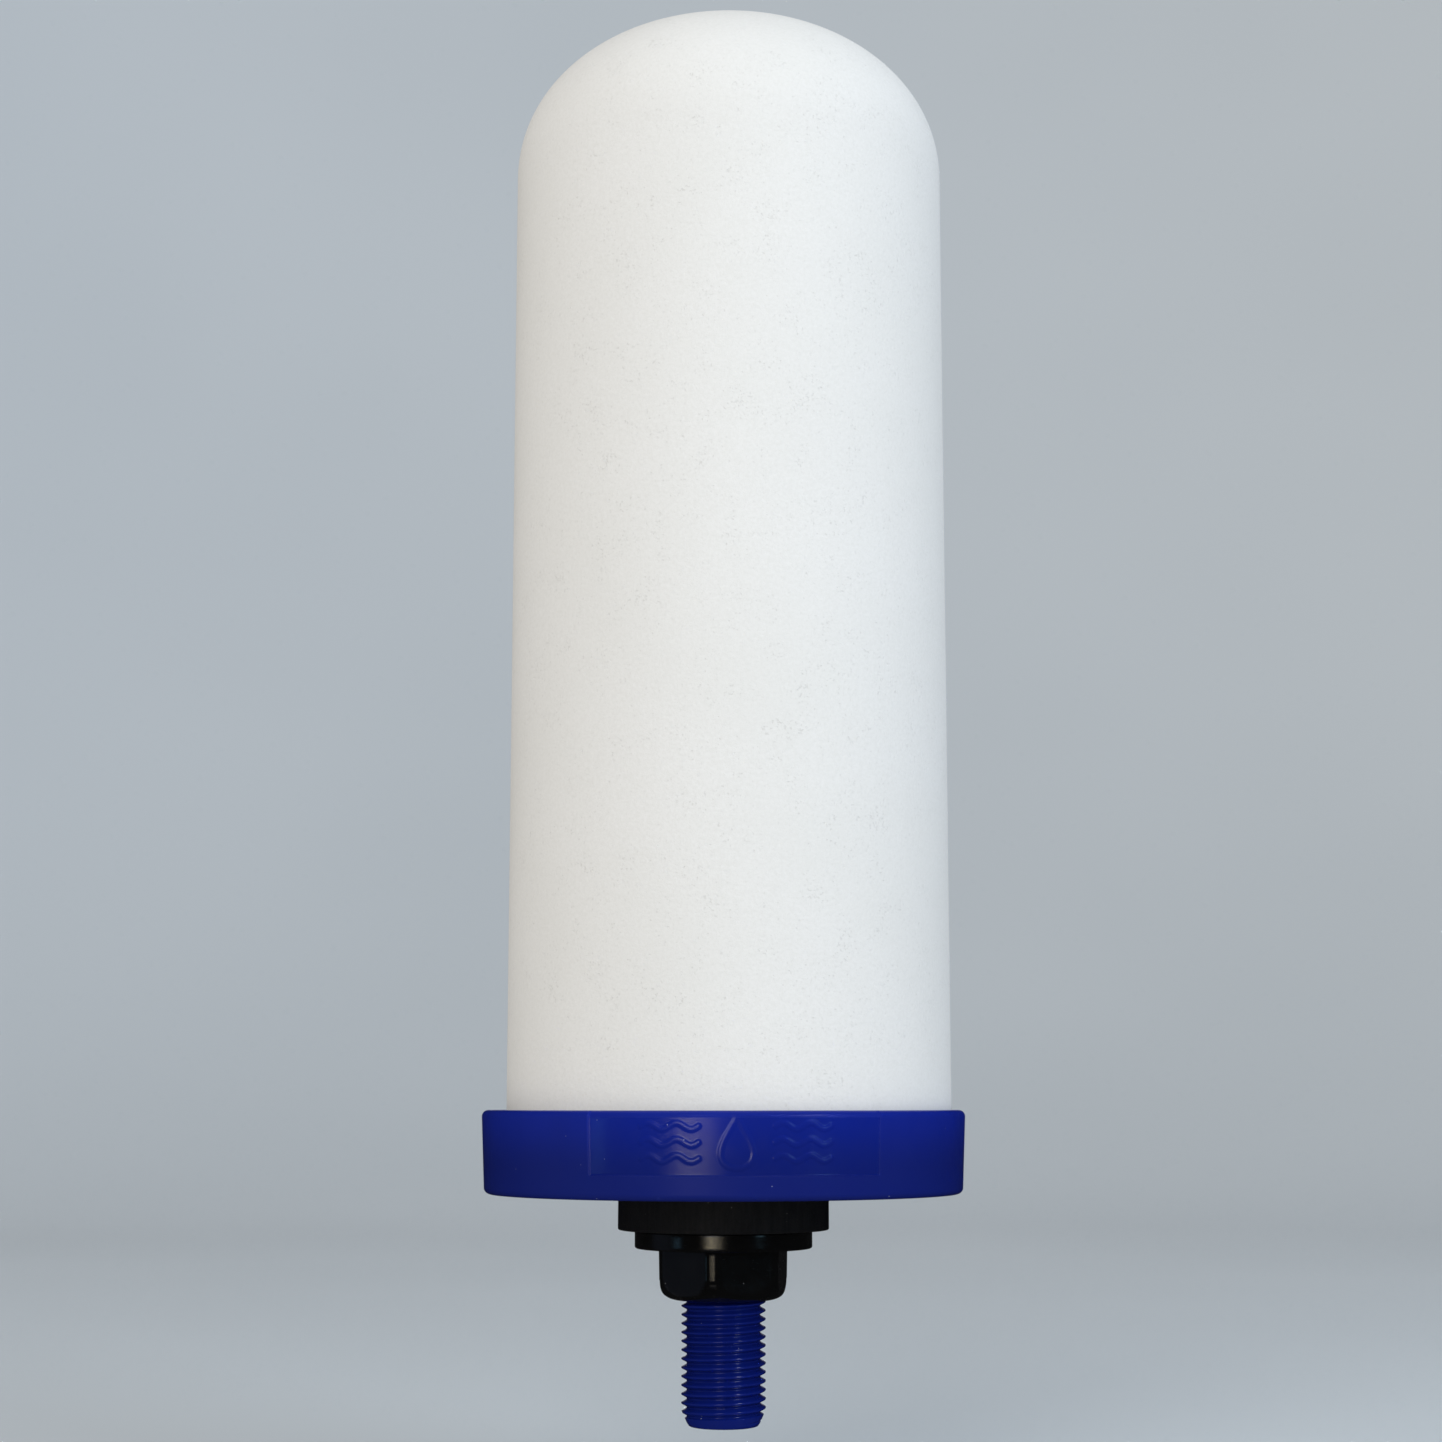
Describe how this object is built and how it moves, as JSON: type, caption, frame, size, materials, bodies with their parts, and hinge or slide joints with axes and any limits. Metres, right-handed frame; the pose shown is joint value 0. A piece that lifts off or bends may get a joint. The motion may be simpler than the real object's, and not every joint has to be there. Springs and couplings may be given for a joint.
{
  "type": "ceramic candle water filter element",
  "caption": "Domed porous ceramic candle bonded in a round moulded cap, with a carbon core and a threaded outlet stem that carries a sealing washer and a flanged hex nut.",
  "frame": {"origin": "on the outlet stem's axis, in the plane of the cap's underside, which is the face that seats over a vessel's floor", "axes": "+Z along the stem's axis towards the dome, -Z out of the outlet, -Y towards the middle of the cap's label panel, nearly"},
  "size_m": [0.0759, 0.0758, 0.2267],
  "materials": {
    "ceramic": "matte",
    "blue_plastic": "satin",
    "black_rubber": "matte",
    "black_plastic": "gloss",
    "epoxy": "satin",
    "carbon": "matte",
    "white_nonwoven": "matte",
    "white_net": "satin",
    "white_plastic": "satin",
    "hot_melt": "satin",
    "black_seal": "satin",
    "foam": "matte"
  },
  "bodies": {
    "element": {"ceramic_shell": "ceramic", "base_cap": "blue_plastic", "potting_ring": "epoxy", "carbon_block": "carbon", "core_liner": "white_nonwoven", "block_wrap": "white_nonwoven", "block_netting": "white_net", "block_bottom_cap": "white_plastic", "block_top_cap": "white_plastic", "bottom_bond": "hot_melt", "top_bond": "hot_melt", "spigot_o_ring": "black_seal", "dome_pad": "foam"},
    "washer": {"seal_washer": "black_rubber"},
    "nut": {"flange_nut": "black_plastic"}
  },
  "joints": [
    {"name": "washer_drop", "type": "slide", "parent": "element", "child": "washer", "axis": [0, 0, -1], "range_m": [0, 0.03209]},
    {"name": "nut_spin", "type": "hinge", "parent": "washer", "child": "nut", "pos_m": [0, 0, -0.0056], "axis": [0, 0, -1], "range_deg": [0, 8641]}
  ],
  "couplings": [
    {"joint": "nut_spin", "follows": "washer_drop", "rad_per_m": 4699.5}
  ]
}
